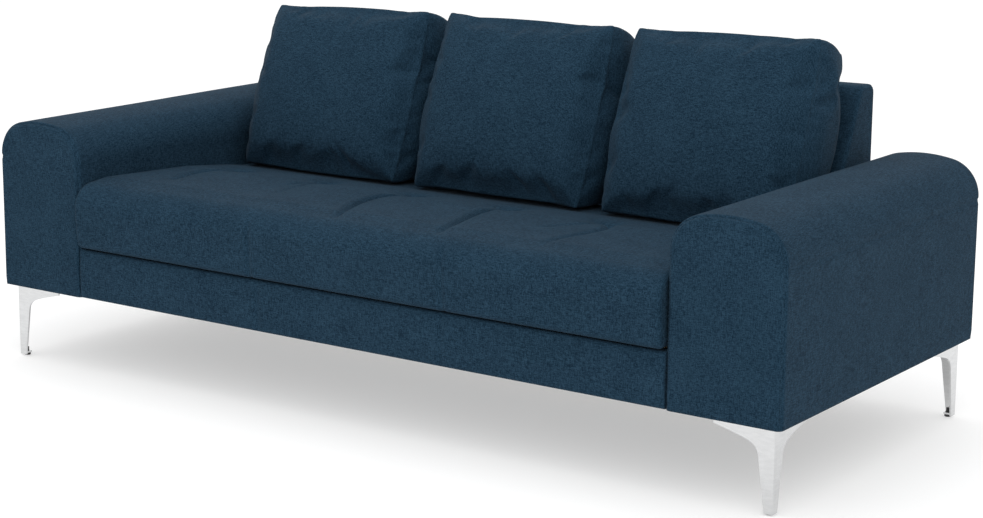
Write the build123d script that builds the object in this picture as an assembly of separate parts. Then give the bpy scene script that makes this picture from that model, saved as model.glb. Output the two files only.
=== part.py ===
"""Three-seat sofa bed with a click-clack back, wide padded arms and steel corner legs.

Millimetres. X runs across the sofa (positive to the sitter's left as seen from the front),
the front faces -Y and Z is up. The origin is on the floor at the middle of the sofa's box.
"""
import math
import os

from build123d import *

os.makedirs("parts", exist_ok=True)

# ---------------------------------------------------------------- overall sizes
overall_width = 2140.0
arm_depth = 923.0
arm_width = 261.0
arm_height = 592.0
underside_height = 182.0
cushion_top_height = 872.0
back_height = 738.0
seat_front_height = 455.0
seat_rear_height = 421.0
seat_underside = 306.0
seat_proud = 22.0
back_zone_depth = 213.0
back_lean = 24.0

# ---------------------------------------------------------------- clearances
side_gap = 4.0
joint_gap = 4.0
seat_rest_gap = 0.4
cushion_gap = 3.0
running_gap = 0.05
fit_gap = 0.1

# ---------------------------------------------------------------- arm build-up
arm_shoulder_radius = 80.0
arm_crown_rise = 5.0
arm_edge_radius = 13.0
cover_thickness = 2.0
arm_foam_thickness = 20.0
arm_panel_thickness = 18.0
arm_skin_thickness = 5.0
arm_base_thickness = 12.0
arm_rail_width = 32.0
arm_rail_height = 60.0

# ---------------------------------------------------------------- legs
leg_inset = 23.0
leg_plate = 4.0
leg_wing_length = 138.0
leg_wing_tip_height = 13.0
leg_wing_root_drop = 62.0
leg_width_top = 36.0
leg_width_bottom = 20.0
leg_fillet_run = 32.0
leg_fillet_rise = 30.0
leg_screw_head_factor = 1.8
leg_flange_size = 96.0
leg_screw_inset = 26.0
leg_screw_radius = 4.0
leg_screw_length = 14.0
leg_screw_head = 3.5
glide_radius = 7.5
glide_height = 6.0
glide_stem_radius = 4.0
glide_stem_length = 14.0
glide_edge_radius = 1.5
glide_side_gap = 0.5

# ---------------------------------------------------------------- base frame
rail_height = 120.0
rail_thickness = 22.0
rail_pad_thickness = 10.0
rail_edge_radius = 6.0
rail_trim = 3.0
bearer_height = 30.0
mid_rail_depth = 400.0
side_board_thickness = 22.0
bearer_width = 45.0
dust_cover_thickness = 1.2
dust_cover_lift = 2.5

# ---------------------------------------------------------------- seat
seat_frame_height = 40.0
seat_frame_width = 45.0
seat_lip = 30.0
seat_front_radius = 34.0
seat_undercut = 20.0
seat_nose_drop = 6.0
seat_nose_depth = 20.0
seat_frame_clearance = 6.0
seat_rebate_headroom = 8.0
deck_low_gap = 1.0
deck_high_gap = 0.5
spring_radius = 1.9
spring_count = 9
spring_waves = 8
spring_swing = 22.0
spring_bend_radius = 8.0
spring_end_overlap = 20.0
spring_lift = 0.5

# ---------------------------------------------------------------- back
back_bottom_slope = 34.0
back_skirt_thickness = 22.0
back_skirt_bottom = 200.0
back_pad_thickness = 26.0
back_rail_width = 40.0
back_edge_radius = 18.0
back_rear_gap = 2.0
back_board_cover = 3.0
back_board_thickness = 3.0
back_top_cover = 14.0
back_low_clearance = 6.0
back_low_lift = 3.0
back_rear_lift = 5.0
back_skirt_cover = 4.0
webbing_gap = 0.5
webbing_width = 60.0
webbing_thickness = 2.0
webbing_count = 9

# ---------------------------------------------------------------- hinge
plate_thickness = 3.0
plate_gap = 1.0
pin_radius = 6.0
pin_head_radius = 9.0
pin_head_height = 3.0
eye_radius = 12.0
base_strap_width = 40.0
base_strap_overrun = 11.0
seat_strap_width = 26.0
seat_strap_length = 160.0
seat_strap_angle = 222.0
back_strap_width = 30.0
back_strap_length = 114.0
ratchet_radius = 40.0
ratchet_teeth = 7
tooth_radius = 3.0
pawl_angle = 251.0
pawl_pivot_radius = 4.0
pawl_pivot_distance = 62.0
pocket_length = 150.0
pocket_drop = 90.0
pocket_rise = 70.0
pocket_end_gap = 20.0
pin_head_clearance = 4.0
pin_recess_depth = 30.0
eye_relief = 60.0
relief_clearance = 12.0
ratchet_step = 10.0
ratchet_start = 4.0
ratchet_middle = 33.0
pawl_width = 8.0
pawl_tip_gap = 1.5
pawl_bar_width = 18.0
seat_strap_start = 6.0
screw_radius = 2.5
screw_head_radius = 5.0
screw_head_height = 1.6
screw_length = 24.0
screw_hole_length = 40.0
base_screw_length = 52.0
base_screw_bite = 6.0
base_screw_steps = (32.0, 12.0)
seat_screw_steps = (32.0, 10.0)
back_screw_steps = (30.0, 10.0)

# ---------------------------------------------------------------- loose back cushions
cushion_count = 3
cushion_rear_lean = 15.6
cushion_base_depth = 138.0
cushion_top_depth = 95.0
cushion_top_fall = 42.0
cushion_rear_gap = 7.0
cushion_seat_gap = 1.0
cushion_crease_gap = 16.0
cushion_crown = 36.0
cushion_rear_rise = 20.0
cushion_corner_radius = 24.0

# ---------------------------------------------------------------- worked-out places
half_width = overall_width / 2
arm_front = -(arm_depth + seat_proud) / 2 + seat_proud
arm_rear = arm_front + arm_depth
inner_half = half_width - arm_width
arm_centre = half_width - arm_width / 2
pad_inset = cover_thickness
frame_inset = cover_thickness + arm_foam_thickness
crease_depth = arm_depth - back_zone_depth
crease_y = arm_front + crease_depth
crease_z = seat_rear_height
unit_half = inner_half - side_gap
low_rail_middle = underside_height + arm_base_thickness + arm_rail_height / 2
base_strap_length = crease_z - low_rail_middle + base_strap_overrun
bay_line = inner_half / 3
base_plate_x = inner_half - plate_thickness
back_plate_x = base_plate_x - plate_gap - plate_thickness
seat_plate_x = back_plate_x - plate_gap - plate_thickness
seat_front = arm_front - seat_proud
sides = {"left": -1, "right": 1}


def save(shape, name):
    """Write one node to its own STEP file."""
    shape.label = name
    export_step(shape, f"parts/{name}.step")


def block(x0, x1, y0, y1, z0, z1):
    """A box between two corners."""
    box = Box(x1 - x0, y1 - y0, z1 - z0)
    return Pos((x0 + x1) / 2, (y0 + y1) / 2, (z0 + z1) / 2) * box


def prism_x(points, x0, x1):
    """A polygon drawn in Y and Z, carried along X from x0 to x1."""
    wire = Polyline(*points, close=True)
    face = make_face(Plane.YZ * wire)
    return Pos(x0, 0, 0) * extrude(face, amount=x1 - x0, dir=(1, 0, 0))


def mirrored(shape, side):
    """The piece as drawn on the right, or its mirror image on the left."""
    return shape if side > 0 else mirror(shape, about=Plane.YZ)


def group(shapes):
    """Several separate solids as one node."""
    return Compound(children=list(shapes))


# ================================================================= arms
def arch_face(inset, bottom):
    """The arm's end outline: straight sides, two shoulder arcs and one shallow crown arc."""
    half = arm_width / 2 - inset
    radius = arm_shoulder_radius - inset
    centre_x = arm_width / 2 - arm_shoulder_radius
    spring_z = arm_height - arm_crown_rise - arm_shoulder_radius
    crown = arm_shoulder_radius + (centre_x**2 + arm_crown_rise**2) / (2 * arm_crown_rise)
    crown_z = arm_height - crown
    lean = math.atan2(centre_x, spring_z - crown_z)
    middle = (math.pi / 2 - lean) / 2
    joint = (centre_x + radius * math.sin(lean), spring_z + radius * math.cos(lean))
    bend = (centre_x + radius * math.cos(middle), spring_z + radius * math.sin(middle))
    outline = [
        Line((-half, bottom), (half, bottom)),
        Line((half, bottom), (half, spring_z)),
        ThreePointArc((half, spring_z), bend, joint),
        ThreePointArc(joint, (0, arm_height - inset), (-joint[0], joint[1])),
        ThreePointArc((-joint[0], joint[1]), (-bend[0], bend[1]), (-half, spring_z)),
        Line((-half, spring_z), (-half, bottom)),
    ]
    return make_face(Plane.XZ * Wire(outline))


def arch_body(inset, y0, y1, bottom=underside_height):
    """The arch outline carried along Y on the right arm's centre line."""
    solid = extrude(arch_face(inset, bottom), amount=y1 - y0, dir=(0, 1, 0))
    return Pos(arm_centre, y0, 0) * solid


def rounded_arch(inset):
    """The padded arm's outer form with its two end outlines rounded over."""
    solid = arch_body(inset, arm_front + inset, arm_rear - inset)
    ends = solid.faces().sort_by(Axis.Y)
    outline = []
    for face in (ends[0], ends[-1]):
        outline += [edge for edge in face.edges() if edge.center().Z > underside_height + 1]
    return fillet(outline, arm_edge_radius - inset)


def arm_pieces(name, side):
    """Cover, foam, plywood ends, fibreboard skins, rails and base panel of one arm."""
    front = arm_front + frame_inset
    rear = arm_rear - frame_inset
    inner = inner_half + frame_inset
    outer = half_width - frame_inset
    spring_z = arm_height - arm_crown_rise - arm_shoulder_radius
    panel = arm_panel_thickness
    skin = arm_skin_thickness
    rail = arm_rail_width
    base_top = underside_height + arm_base_thickness

    outer_form = rounded_arch(0)
    foam_form = rounded_arch(pad_inset)
    frame_form = arch_body(frame_inset, front, rear)
    holes = [screw_hole(y, z, inner_half - 1, base_screw_length) for y, z in base_screw_places()]
    save(mirrored(outer_form - foam_form - holes, side), f"arm_cover_{name}")
    save(mirrored(foam_form - frame_form - holes, side), f"arm_foam_{name}")

    ends = {"front": (front, front + panel), "rear": (rear - panel, rear)}
    for end, (y0, y1) in ends.items():
        board = arch_body(frame_inset, y0, y1)
        save(mirrored(board, side), f"arm_{end}_panel_{name}")

    y0 = front + panel
    y1 = rear - panel
    base = block(inner, outer, y0, y1, underside_height, base_top)
    for end_sign in (-1, 1):
        for x, y in screw_places():
            hole = Pos(x, y, underside_height) * Cylinder(leg_screw_radius + fit_gap, leg_screw_length * 2)
            base -= at_corner(hole, 1, end_sign)
    save(mirrored(base, side), f"arm_base_panel_{name}")

    wrap = arch_body(frame_inset, y0, y1) - arch_body(frame_inset + skin, y0, y1)
    wrap -= block(inner, outer, y0, y1, underside_height, base_top)
    save(mirrored(wrap - holes, side), f"arm_skin_{name}")

    rails = []
    low = (base_top, base_top + arm_rail_height)
    high = (spring_z - arm_rail_height, spring_z)
    for z0, z1 in (low, high):
        rails.append(block(inner + skin, inner + skin + rail, y0, y1, z0, z1) - holes)
        rails.append(block(outer - skin - rail, outer - skin, y0, y1, z0, z1))
    save(mirrored(group(rails), side), f"arm_rails_{name}")


# ================================================================= legs
def wing_profile():
    """One wing of a leg, drawn as distance from the corner against height."""
    bottom = glide_height / 2
    root = underside_height - leg_wing_root_drop
    tip = underside_height - leg_wing_tip_height
    outline = [
        Line((0, bottom), (leg_width_bottom, bottom)),
        Line((leg_width_bottom, bottom), (leg_width_top, root)),
        Spline(
            (leg_width_top, root),
            (leg_width_top + leg_fillet_run, root + leg_fillet_rise),
            (leg_wing_length, tip),
            tangents=[(0.14, 1), (1, 0.28)],
        ),
        Line((leg_wing_length, tip), (leg_wing_length, underside_height)),
        Line((leg_wing_length, underside_height), (0, underside_height)),
        Line((0, underside_height), (0, bottom)),
    ]
    return Wire(outline)


def leg_at_origin():
    """A leg with its outer corner on the Z axis and its wings along +X and +Y."""
    face_x = make_face(Plane.XZ * wing_profile())
    wing_x = extrude(face_x, amount=leg_plate, dir=(0, 1, 0))
    face_y = make_face(Plane.YZ * wing_profile())
    wing_y = extrude(face_y, amount=leg_plate, dir=(1, 0, 0))
    top = underside_height
    flange = block(0, leg_flange_size, 0, leg_flange_size, top - leg_plate, top)
    cut = Polyline(
        (leg_flange_size + 1, leg_plate * 4),
        (leg_flange_size + 1, leg_flange_size + 1),
        (leg_plate * 4, leg_flange_size + 1),
        close=True,
    )
    flange -= Pos(0, 0, top - leg_plate * 2) * extrude(make_face(cut), amount=leg_plate * 4)
    foot = glide_place()
    sole = block(0, foot[0] + glide_radius, 0, foot[1] + glide_radius, glide_height, glide_height + leg_plate)
    hole = Pos(foot[0], foot[1], 0) * Cylinder(
        glide_stem_radius + fit_gap, glide_stem_length * 4, align=(Align.CENTER, Align.CENTER, Align.CENTER)
    )
    leg = wing_x + wing_y + flange + (sole - hole)
    for x, y in screw_places():
        leg -= Pos(x, y, top) * Cylinder(leg_screw_radius + fit_gap, leg_plate * 4)
    return leg


def glide_place():
    """Where the glide's stem stands, from the leg's outer corner."""
    offset = leg_plate + glide_radius + glide_side_gap
    return (offset, offset)


def screw_places():
    """Leg screws, from the leg's outer corner."""
    near = leg_screw_inset
    far = leg_flange_size - leg_screw_inset
    return [(near, near), (far, near), (near, far)]


def glide_at_origin():
    """A plastic glide: a round foot with a stem that presses up into the leg's sole."""
    x, y = glide_place()
    foot = Pos(x, y, glide_height / 2) * Cylinder(glide_radius, glide_height)
    foot = fillet(foot.edges().sort_by(Axis.Z)[0], glide_edge_radius)
    stem = Pos(x, y, glide_height + glide_stem_length / 2) * Cylinder(glide_stem_radius, glide_stem_length)
    return foot + stem


def leg_screws_at_origin():
    """Dome-headed screws through the flange; their shanks sit in the arm's base panel."""
    screws = []
    top = underside_height
    for x, y in screw_places():
        head_z = top - leg_plate - leg_screw_head / 2
        head = Pos(x, y, head_z) * Cylinder(leg_screw_radius * leg_screw_head_factor, leg_screw_head)
        shank_z = top - leg_plate + leg_screw_length / 2
        shank = Pos(x, y, shank_z) * Cylinder(leg_screw_radius, leg_screw_length)
        screws.append(head + shank)
    return screws


def at_corner(shape, side, end):
    """Carry a piece drawn at the origin to one of the four corners."""
    if end > 0:
        shape = mirror(shape, about=Plane.XZ)
    if side > 0:
        shape = mirror(shape, about=Plane.YZ)
    x = side * (half_width - leg_inset)
    y = arm_rear - leg_inset if end > 0 else arm_front + leg_inset
    return Pos(x, y, 0) * shape


# ================================================================= base frame
def base_pieces():
    """Front rail and its cover, middle rail, side boards, bearers and dust cloth."""
    z0 = underside_height
    z1 = z0 + rail_height
    pad = rail_pad_thickness
    front = arm_front + pad
    cover_outer = block(-inner_half, inner_half, arm_front, front + rail_thickness, z0, z1)
    front_edges = [
        edge for edge in cover_outer.edges().filter_by(Axis.X) if edge.center().Y < arm_front + 1
    ]
    cover_outer = fillet(front_edges, rail_edge_radius)
    rail = block(-inner_half, inner_half, front, front + rail_thickness, z0 + rail_trim, z1 - rail_trim)
    save(cover_outer - rail, "front_rail_cover")
    save(rail, "front_rail")

    back_y = front + rail_thickness
    mid_y = arm_front + mid_rail_depth
    save(block(-inner_half, inner_half, mid_y, mid_y + rail_thickness, z0 + rail_trim, z1), "middle_rail")
    boards = [
        block(-inner_half, -inner_half + side_board_thickness, back_y, mid_y, z0 + rail_trim, z1),
        block(inner_half - side_board_thickness, inner_half, back_y, mid_y, z0 + rail_trim, z1),
    ]
    save(group(boards), "side_boards")
    bearers = []
    half = bearer_width / 2
    for x in (-bay_line, bay_line):
        bearers.append(block(x - half, x + half, back_y, mid_y, z1 - bearer_height, z1))
    save(group(bearers), "base_bearers")
    cloth_top = z0 + dust_cover_lift
    cloth_low = cloth_top - dust_cover_thickness
    save(block(-inner_half, inner_half, back_y, mid_y + rail_thickness, cloth_low, cloth_top), "dust_cover")


# ================================================================= seat
def seat_outline():
    """The bench seat's side outline in Y and Z, from the front edge to the crease."""
    rear_y = crease_y - joint_gap
    depth = rear_y - arm_front
    low = seat_underside + seat_rest_gap
    fall = rear_y - (crease_z - low) * math.tan(math.radians(seat_undercut))
    return {
        "front": seat_front,
        "rear": rear_y,
        "low": low,
        "fall": fall,
        "slope": (seat_front_height - seat_rear_height) / depth,
        "top_front": seat_front_height,
        "top_rear": seat_rear_height,
    }


def seat_frame_box():
    """Corners of the seat's timber frame: x, front y, rear y, low z and high z."""
    outline = seat_outline()
    return (
        seat_plate_x,
        arm_front + seat_lip,
        outline["fall"] - seat_frame_clearance,
        outline["low"],
        outline["low"] + seat_frame_height,
    )


def seat_cushion():
    """Foam bench seat in its cover, with a rebate underneath for the frame."""
    o = seat_outline()
    points = [
        (o["front"], o["low"]),
        (o["front"], seat_front_height - seat_nose_drop),
        (arm_front + seat_nose_depth, o["top_front"]),
        (o["rear"], o["top_rear"]),
        (o["fall"], o["low"]),
    ]
    solid = prism_x(points, -unit_half, unit_half)
    front_edges = [
        edge
        for edge in solid.edges().filter_by(Axis.X)
        if edge.center().Y < arm_front + 1 and edge.center().Z > o["low"] + seat_frame_height / 2
    ]
    solid = fillet(front_edges, seat_front_radius)
    x, y0, y1, z0, z1 = seat_frame_box()
    rebate = block(-x, x, y0, y1, z0 - 1, z1 + seat_rebate_headroom)
    solid -= rebate
    y0 = o["rear"] - pocket_length
    return solid - hinge_pockets(y0, crease_y + 1, o["low"] - 1, crease_z + pocket_end_gap)


def hinge_pockets(y0, y1, z0, z1):
    """Pockets at both ends of the seat or back, where the hinge plates and pin heads lie."""
    recess = block(seat_plate_x, unit_half + 5, y0, y1, z0, z1)
    recess += disc(
        pin_head_radius + pin_head_clearance, seat_plate_x - pin_head_height - 2, pin_recess_depth
    )
    return recess + mirror(recess, about=Plane.YZ)


def seat_pieces():
    """Seat frame boards, sinuous springs, spring deck and the bench cushion."""
    x, y0, y1, z0, z1 = seat_frame_box()
    w = seat_frame_width
    boards = [
        block(-x, x, y0, y0 + w, z0, z1),
        block(-x, x, y1 - w, y1, z0, z1),
    ]
    for left in (-x, x - w, -bay_line - w / 2, bay_line - w / 2):
        boards.append(block(left, left + w, y0 + w, y1 - w, z0, z1))
    holes = side_holes(seat_screw_places(), seat_plate_x)
    save(group(board - holes for board in boards), "seat_frame")

    springs = []
    step = (y1 - y0 - 2 * w) / spring_waves
    height = z1 + spring_radius + spring_lift
    for index in range(spring_count):
        centre = -x + w + (index + 0.5) * (2 * x - 2 * w) / spring_count
        points = [(centre, y0 + w - spring_end_overlap, height)]
        for wave in range(spring_waves + 1):
            swing = spring_swing if wave % 2 else -spring_swing
            points.append((centre + swing, y0 + w + wave * step, height))
        points.append((centre, y1 - w + spring_end_overlap, height))
        path = FilletPolyline(*points, radius=spring_bend_radius)
        start = Plane(origin=points[0], z_dir=path % 0)
        springs.append(sweep(start * Circle(spring_radius), path=path))
    save(group(springs), "seat_springs")
    deck_low = z1 + 2 * spring_radius + deck_low_gap
    deck = block(-x, x, y0, y1, deck_low, z1 + seat_rebate_headroom - deck_high_gap)
    save(deck, "spring_deck")
    save(seat_cushion(), "seat_cushion")


# ================================================================= back
def back_outline():
    """The back's key places in Y: foot of the front face, its top edge and the rear face."""
    lean = math.tan(math.radians(back_lean))
    rear = arm_rear - back_rear_gap
    start_y = crease_y + joint_gap
    top_front_y = start_y + (back_height - crease_z) * lean
    return start_y, top_front_y, rear


def back_upholstery_form():
    """Outer form of the padded back with its rear skirt."""
    start_y, top_front_y, rear = back_outline()
    slope = math.tan(math.radians(back_bottom_slope))
    skirt = rear - back_skirt_thickness
    points = [
        (start_y, crease_z),
        (top_front_y, back_height),
        (rear, back_height),
        (rear, back_skirt_bottom),
        (skirt, back_skirt_bottom),
        (skirt, crease_z - (skirt - start_y) * slope),
    ]
    solid = prism_x(points, -unit_half, unit_half)
    top_edges = [edge for edge in solid.edges().filter_by(Axis.X) if edge.center().Z > back_height - 1]
    return fillet(top_edges, back_edge_radius)


def back_frame_form():
    """Outline of the timber inside the back, one pad thickness inside its front and top."""
    start_y, _, rear = back_outline()
    pad = back_pad_thickness
    lean = math.radians(back_lean)
    slope = math.tan(math.radians(back_bottom_slope))
    shift = pad / math.cos(lean)
    rear_in = rear - back_board_cover - back_board_thickness
    top = back_height - back_top_cover
    low_y = start_y + shift + back_low_clearance
    low_z = crease_z - (low_y - start_y) * slope + back_low_lift
    front_top = start_y + shift + (top - crease_z) * math.tan(lean)
    front_low = start_y + shift + (low_z - crease_z) * math.tan(lean)
    rear_low = crease_z - (rear_in - start_y) * slope + back_rear_lift
    return [(front_low, low_z), (front_top, top), (rear_in, top), (rear_in, rear_low)]


def back_pieces():
    """Back timbers, webbing, rear board, skirt board and the padded cover."""
    x = back_plate_x
    outline = back_frame_form()
    t = arm_panel_thickness
    ribs = []
    for left in (-x, -bay_line - t / 2, bay_line - t / 2, x - t):
        ribs.append(prism_x(outline, left, left + t))
    holes = side_holes(back_screw_places(), back_plate_x)
    relief = pawl_pivot_distance + relief_clearance
    holes += both_sides([disc(relief, seat_plate_x - plate_gap / 2, pocket_length)])
    save(group(rib - holes for rib in ribs), "back_ribs")

    front_low, front_top, rear_top, rear_low = outline
    w = back_rail_width
    line = bay_line
    bays = [(-x + t, -line - t / 2), (-line + t / 2, line - t / 2), (line + t / 2, x - t)]
    ahead = front_low[0] - w
    top_zone = block(-x, x, ahead, rear_top[0] + 1, rear_top[1] - w, rear_top[1] + 1)
    low_zone = block(-x, x, ahead, front_low[0] + w, 0, front_top[1])
    save(group(prism_x(outline, *bay) & top_zone for bay in bays), "back_top_rails")
    save(group((prism_x(outline, *bay) & low_zone) - holes for bay in bays), "back_low_rails")

    rear = arm_rear - back_rear_gap
    board_y = rear - back_board_cover
    foot = back_skirt_bottom + back_skirt_cover
    board = block(-x, x, board_y - back_board_thickness, board_y, foot, rear_top[1])
    save(board, "back_rear_board")
    skirt_y = rear - back_skirt_thickness + back_board_cover
    skirt_top = rear_low[1] - back_skirt_cover
    skirt = block(-x, x, skirt_y, board_y - back_board_thickness, foot, skirt_top)
    save(skirt, "back_skirt_board")

    shift = webbing_thickness + webbing_gap
    lean = math.radians(back_lean)
    strips = []
    y0, z0 = front_low
    y1, z1 = front_top
    ny, nz = -math.cos(lean), math.sin(lean)
    points = [
        (y0 + ny * webbing_gap, z0 + nz * webbing_gap),
        (y1 + ny * webbing_gap, z1 + nz * webbing_gap),
        (y1 + ny * shift, z1 + nz * shift),
        (y0 + ny * shift, z0 + nz * shift),
    ]
    for index in range(webbing_count):
        centre = -x + (index + 0.5) * 2 * x / webbing_count
        strips.append(prism_x(points, centre - webbing_width / 2, centre + webbing_width / 2))
    save(group(strips), "back_webbing")

    skirt_inner = rear - back_skirt_thickness + cover_thickness
    cavity_points = [
        (y0 + ny * (shift + 1), z0 + nz * (shift + 1)),
        (y1 + ny * (shift + 1), z1 + nz * (shift + 1)),
        (y1, z1 + 1),
        (rear - cover_thickness, z1 + 1),
        (rear - cover_thickness, back_skirt_bottom + back_board_cover),
        (skirt_inner, back_skirt_bottom + back_board_cover),
        (skirt_inner, rear_low[1] + 2 * back_skirt_cover),
        (y0, z0 - 2),
    ]
    cavity = prism_x(cavity_points, -x - 1, x + 1)
    pad = back_upholstery_form() - cavity
    pocket_rear = crease_y + back_strap_length + back_low_clearance
    pad -= hinge_pockets(crease_y - 1, pocket_rear, crease_z - pocket_drop, crease_z + pocket_rise)
    save(pad, "back_upholstery")


# ================================================================= hinges
def disc(radius, x0, thickness, y=0.0, z=0.0):
    """A round plate lying across X, placed from the crease axis."""
    plane = Plane(origin=(x0, crease_y + y, crease_z + z), x_dir=(0, 1, 0), z_dir=(1, 0, 0))
    return extrude(plane * Circle(radius), amount=thickness)


def strap(angle, start, end, width, x0, thickness):
    """A flat bar that leaves the crease axis at an angle in the YZ plane."""
    a = math.radians(angle)
    along = (math.cos(a), math.sin(a))
    across = (-math.sin(a), math.cos(a))
    corners = []
    for t, s in ((start, -1), (end, -1), (end, 1), (start, 1)):
        y = crease_y + along[0] * t + across[0] * s * width / 2
        z = crease_z + along[1] * t + across[1] * s * width / 2
        corners.append((y, z))
    return prism_x(corners, x0, x0 + thickness)


def on_strap(angle, distance):
    """A point on a strap's middle line, from the crease axis."""
    a = math.radians(angle)
    return (math.cos(a) * distance, math.sin(a) * distance)


def both_sides(shapes):
    """Pieces drawn on the right, with their mirror images on the left."""
    result = []
    for shape in shapes:
        result += [shape, mirror(shape, about=Plane.YZ)]
    return result


def screw_hole(y, z, x0, length):
    """A clearance hole along X for a hinge screw."""
    return disc(screw_radius + fit_gap, x0, length, y, z)


def side_holes(places, plate_x):
    """Clearance holes at both ends of the seat or back for the screws of one plate."""
    start = plate_x - screw_length
    return both_sides(screw_hole(y, z, start, screw_hole_length) for y, z in places)


def plate_screw(y, z, plate_x, length, inward):
    """A countersunk screw through a hinge plate; inward ones run towards the sofa's middle."""
    if inward:
        head_x = plate_x + plate_thickness - screw_head_height
        return disc(screw_head_radius, head_x, screw_head_height, y, z) + disc(
            screw_radius, head_x - length, length, y, z
        )
    head = disc(screw_head_radius, plate_x, screw_head_height, y, z)
    return head + disc(screw_radius, plate_x + screw_head_height, length, y, z)


def drilled(plate, places, plate_x, inward):
    """A hinge plate with its screw holes and countersinks."""
    head_x = plate_x + plate_thickness - screw_head_height if inward else plate_x - 1
    for y, z in places:
        plate -= disc(screw_radius + fit_gap, plate_x - 1, plate_thickness + 2, y, z)
        plate -= disc(screw_head_radius + fit_gap, head_x, screw_head_height + 1, y, z)
    return plate


def base_screw_places():
    """Screws that hold the base plate to the arm's lower rail."""
    return [on_strap(-90, base_strap_length - step) for step in base_screw_steps]


def seat_screw_places():
    """Screws that hold the seat plate to the seat frame's end."""
    return [on_strap(seat_strap_angle, seat_strap_length - step) for step in seat_screw_steps]


def back_screw_places():
    """Screws that hold the back plate to the back's end rib."""
    return [on_strap(back_strap_angle(), back_strap_length - step) for step in back_screw_steps]


def back_strap_angle():
    """The back plate's direction, halfway between the back's front face and its underside."""
    return (90 - back_lean - back_bottom_slope) / 2


def hinge_pieces(name, side):
    """Base, back and seat plates on one pin, with the ratchet pawl on the seat plate."""
    pin_hole = pin_radius + running_gap
    bore = plate_thickness + 2

    base = disc(eye_radius, base_plate_x, plate_thickness)
    base += strap(-90, 0, base_strap_length, base_strap_width, base_plate_x, plate_thickness)
    y0, y1 = crease_y - eye_relief, crease_y + eye_relief
    base -= block(base_plate_x - 1, inner_half + 1, y0, y1, crease_z, crease_z + eye_relief)
    base += disc(eye_radius, base_plate_x, plate_thickness)
    base -= disc(pin_radius, base_plate_x - 1, bore)
    base = drilled(base, base_screw_places(), base_plate_x, False)
    save(mirrored(base, side), f"hinge_base_plate_{name}")

    back = disc(eye_radius, back_plate_x, plate_thickness)
    sector = disc(ratchet_radius, back_plate_x, plate_thickness)
    middle = pawl_angle + ratchet_middle
    reach = ratchet_radius + ratchet_start
    sector &= strap(middle, ratchet_start, reach, ratchet_radius * 1.5, back_plate_x, plate_thickness)
    for tooth in range(ratchet_teeth):
        y, z = on_strap(pawl_angle + ratchet_start + tooth * ratchet_step, ratchet_radius + 1)
        sector -= disc(tooth_radius, back_plate_x - 1, bore, y, z)
    back += sector
    back += strap(back_strap_angle(), 0, back_strap_length, back_strap_width, back_plate_x, plate_thickness)
    back -= disc(pin_hole, back_plate_x - 1, bore)
    back = drilled(back, back_screw_places(), back_plate_x, True)
    save(mirrored(back, side), f"hinge_back_plate_{name}")

    pawl_y, pawl_z = on_strap(pawl_angle, pawl_pivot_distance)
    seat = disc(eye_radius, seat_plate_x, plate_thickness)
    seat += strap(
        seat_strap_angle, seat_strap_start, seat_strap_length, seat_strap_width, seat_plate_x, plate_thickness
    )
    bar_end = pawl_pivot_distance + pawl_width
    seat += strap(pawl_angle, seat_strap_start, bar_end, pawl_bar_width, seat_plate_x, plate_thickness)
    seat -= disc(pin_hole, seat_plate_x - 1, bore)
    pivot_length = plate_gap + 2 * plate_thickness
    seat += disc(pawl_pivot_radius, seat_plate_x, pivot_length, pawl_y, pawl_z)
    seat = drilled(seat, seat_screw_places(), seat_plate_x, True)
    save(mirrored(seat, side), f"hinge_seat_plate_{name}")

    pawl = disc(pawl_width, back_plate_x, plate_thickness, pawl_y, pawl_z)
    tip = ratchet_radius + pawl_tip_gap
    pawl += strap(pawl_angle, tip, pawl_pivot_distance - 2, pawl_width, back_plate_x, plate_thickness)
    pawl -= disc(pawl_pivot_radius + running_gap, back_plate_x - 1, bore, pawl_y, pawl_z)
    save(mirrored(pawl, side), f"hinge_pawl_{name}")

    pin = disc(pin_radius, seat_plate_x - 1, inner_half - seat_plate_x + 1)
    pin += disc(pin_head_radius, seat_plate_x - 1 - pin_head_height, pin_head_height)
    save(mirrored(pin, side), f"hinge_pin_{name}")


def hinge_screws():
    """The hinge screws, grouped by the piece that they fasten to."""
    base_length = base_screw_length - base_screw_bite
    base = [plate_screw(y, z, base_plate_x, base_length, False) for y, z in base_screw_places()]
    seat = [plate_screw(y, z, seat_plate_x, screw_length, True) for y, z in seat_screw_places()]
    back = [plate_screw(y, z, back_plate_x, screw_length, True) for y, z in back_screw_places()]
    save(group(both_sides(base)), "hinge_base_screws")
    save(group(both_sides(seat)), "hinge_seat_screws")
    save(group(both_sides(back)), "hinge_back_screws")


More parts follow.
